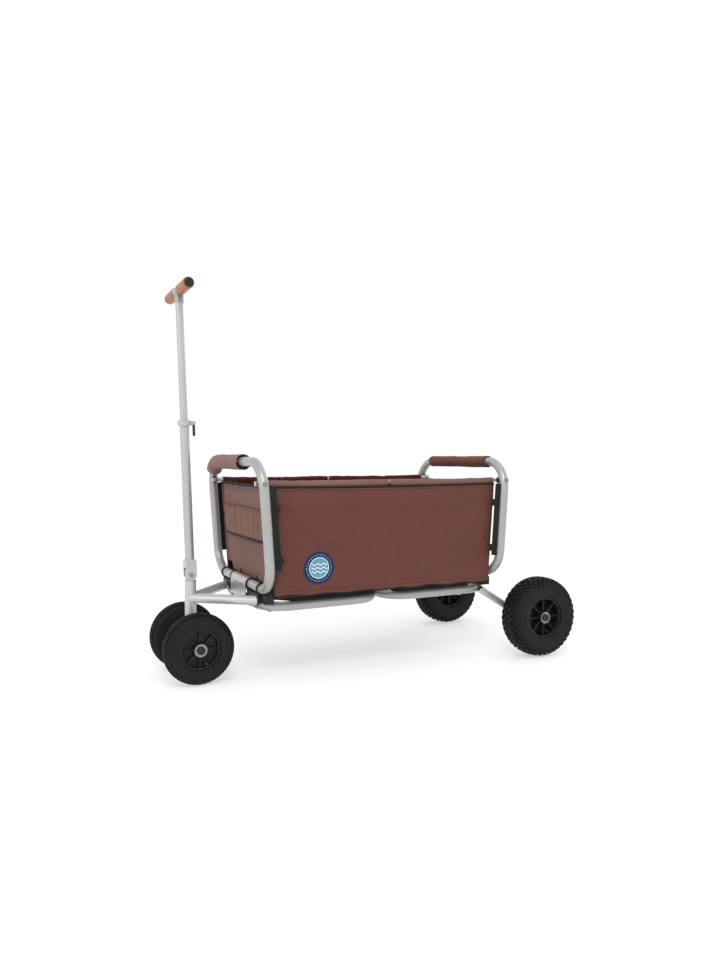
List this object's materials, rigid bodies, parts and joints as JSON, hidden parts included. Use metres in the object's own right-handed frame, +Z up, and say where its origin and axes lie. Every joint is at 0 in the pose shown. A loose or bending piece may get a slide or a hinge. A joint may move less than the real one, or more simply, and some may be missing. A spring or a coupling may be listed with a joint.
{
  "type": "beach cart",
  "caption": "Folding beach cart: cloth tub on tube end frames, balloon-type wheels, steered front axle and telescoping T-grip drawbar.",
  "frame": {"origin": "centre of the overall box, on the ground", "axes": "+X forward to the drawbar end, +Y to the cart's left, +Z up"},
  "size_m": [1.3216, 0.645, 1.1598],
  "materials": {
    "silver_tube": "satin silver powder coat",
    "black_plastic": "moulded black",
    "brown_cloth": "chocolate brown woven polyester",
    "tyre": "black rubber with tread",
    "rim": "black ribbed rim",
    "bright_steel": "zinc plated",
    "wood_grip": "wood-tone grip",
    "floor_board": "black stiffening board"
  },
  "bodies": {
    "rear_frame": {"rear_end_frame": "silver_tube", "rear_handle_sleeve": "brown_cloth", "rear_panel": "brown_cloth", "rear_side_strips": "black_plastic", "rear_rail_spacers": "black_plastic", "rear_rail_bolts": "bright_steel", "left_side_panel": "brown_cloth", "right_side_panel": "brown_cloth"},
    "rear_chassis": {"rear_base_loop": "silver_tube", "rear_hinge_brackets": "black_plastic", "rear_floor_board": "floor_board", "rear_legs": "silver_tube", "rear_stub_axles": "bright_steel", "rear_axle_caps": "black_plastic"},
    "centre_link": {"centre_clamps": "black_plastic"},
    "front_chassis": {"front_base_loop": "silver_tube", "front_hinge_brackets": "black_plastic", "front_floor_board": "floor_board", "centre_plate": "silver_tube", "v_tubes": "silver_tube", "head_tube": "silver_tube"},
    "front_frame": {"front_end_frame": "silver_tube", "front_handle_sleeve": "brown_cloth", "front_panel": "brown_cloth", "front_side_strips": "black_plastic", "front_rail_spacers": "black_plastic", "front_rail_bolts": "bright_steel"},
    "pocket_flap": {"pocket_flap": "brown_cloth"},
    "steering": {"steering_column": "silver_tube", "front_axle": "bright_steel", "front_axle_caps": "black_plastic", "yoke_bolt": "bright_steel"},
    "drawbar": {"drawbar_yoke": "silver_tube", "drawbar_lower_tube": "silver_tube", "clamp_collar": "silver_tube"},
    "clamp_lever": {"clamp_lever": "black_plastic"},
    "drawbar_top": {"drawbar_upper_tube": "silver_tube", "t_socket": "silver_tube", "grips": "wood_grip", "grip_caps": "black_plastic"},
    "rear_left_rail": {"rear_left_rail": "silver_tube", "rear_left_rail_sleeve": "brown_cloth"},
    "rear_right_rail": {"rear_right_rail": "silver_tube", "rear_right_rail_sleeve": "brown_cloth"},
    "front_left_rail": {"front_left_rail": "silver_tube", "front_left_rail_sleeve": "brown_cloth"},
    "front_right_rail": {"front_right_rail": "silver_tube", "front_right_rail_sleeve": "brown_cloth"},
    "front_left_wheel": {"front_left_tyre": "tyre", "front_left_rim": "rim", "front_left_bearings": "bright_steel"},
    "front_right_wheel": {"front_right_tyre": "tyre", "front_right_rim": "rim", "front_right_bearings": "bright_steel"},
    "rear_left_wheel": {"rear_left_tyre": "tyre", "rear_left_rim": "rim", "rear_left_bearings": "bright_steel"},
    "rear_right_wheel": {"rear_right_tyre": "tyre", "rear_right_rim": "rim", "rear_right_bearings": "bright_steel"}
  },
  "joints": [
    {"name": "fold", "type": "hinge", "parent": "rear_frame", "child": "rear_chassis", "pos_m": [-0.3812, 0, 0.277], "axis": [0, -1, 0], "range_deg": [0, 90], "deforming": ["left_side_panel", "right_side_panel"]},
    {"name": "rear_centre_fold", "type": "hinge", "parent": "rear_chassis", "child": "centre_link", "pos_m": [-0.0112, 0, 0.2245], "axis": [0, -1, 0], "range_deg": [-90, 0]},
    {"name": "front_centre_fold", "type": "hinge", "parent": "centre_link", "child": "front_chassis", "pos_m": [0.0248, 0, 0.2245], "axis": [0, -1, 0], "range_deg": [-90, 0]},
    {"name": "front_frame_fold", "type": "hinge", "parent": "front_chassis", "child": "front_frame", "pos_m": [0.3948, 0, 0.277], "axis": [0, -1, 0], "range_deg": [0, 90]},
    {"name": "rear_left_rail_fold", "type": "hinge", "parent": "rear_frame", "child": "rear_left_rail", "pos_m": [-0.40245, 0.226, 0.58086], "axis": [0, 1, 0], "range_deg": [0, 78.5]},
    {"name": "rear_right_rail_fold", "type": "hinge", "parent": "rear_frame", "child": "rear_right_rail", "pos_m": [-0.40245, -0.226, 0.58086], "axis": [0, 1, 0], "range_deg": [0, 78.5]},
    {"name": "front_left_rail_fold", "type": "hinge", "parent": "front_frame", "child": "front_left_rail", "pos_m": [0.41605, 0.226, 0.58086], "axis": [0, -1, 0], "range_deg": [0, 78.5]},
    {"name": "front_right_rail_fold", "type": "hinge", "parent": "front_frame", "child": "front_right_rail", "pos_m": [0.41605, -0.226, 0.58086], "axis": [0, -1, 0], "range_deg": [0, 78.5]},
    {"name": "pocket_flap_lift", "type": "hinge", "parent": "front_frame", "child": "pocket_flap", "pos_m": [0.39187, 0, 0.50175], "axis": [0, -1, 0], "range_deg": [0, 85]},
    {"name": "steering_turn", "type": "hinge", "parent": "front_chassis", "child": "steering", "pos_m": [0.5578, 0, 0.19], "axis": [0, 0, 1], "range_deg": [-30, 30]},
    {"name": "drawbar_tilt", "type": "hinge", "parent": "steering", "child": "drawbar", "pos_m": [0.5578, 0, 0.3045], "axis": [0, -1, 0], "range_deg": [-85, 12]},
    {"name": "drawbar_slide", "type": "slide", "parent": "drawbar", "child": "drawbar_top", "axis": [-0.034, 0, -0.9994], "range_m": [0, 0.335]},
    {"name": "clamp_lever_turn", "type": "hinge", "parent": "drawbar", "child": "clamp_lever", "pos_m": [0.54719, 0, 0.75712], "axis": [0, 1, 0], "range_deg": [0, 110]},
    {"name": "front_left_wheel_spin", "type": "hinge", "parent": "steering", "child": "front_left_wheel", "pos_m": [0.5578, 0.094, 0.103], "axis": [0, 1, 0], "continuous": true},
    {"name": "front_right_wheel_spin", "type": "hinge", "parent": "steering", "child": "front_right_wheel", "pos_m": [0.5578, -0.094, 0.103], "axis": [0, 1, 0], "continuous": true},
    {"name": "rear_left_wheel_spin", "type": "hinge", "parent": "rear_chassis", "child": "rear_left_wheel", "pos_m": [-0.5308, 0.28, 0.13], "axis": [0, 1, 0], "continuous": true},
    {"name": "rear_right_wheel_spin", "type": "hinge", "parent": "rear_chassis", "child": "rear_right_wheel", "pos_m": [-0.5308, -0.28, 0.13], "axis": [0, 1, 0], "continuous": true}
  ],
  "couplings": [
    {"joint": "rear_centre_fold", "follows": "fold", "ratio": -1},
    {"joint": "front_centre_fold", "follows": "fold", "ratio": -1},
    {"joint": "front_frame_fold", "follows": "fold", "ratio": 1},
    {"joint": "rear_left_rail_fold", "follows": "fold", "ratio": 0.86889},
    {"joint": "rear_right_rail_fold", "follows": "fold", "ratio": 0.86889},
    {"joint": "front_left_rail_fold", "follows": "fold", "ratio": 0.86889},
    {"joint": "front_right_rail_fold", "follows": "fold", "ratio": 0.86889}
  ]
}
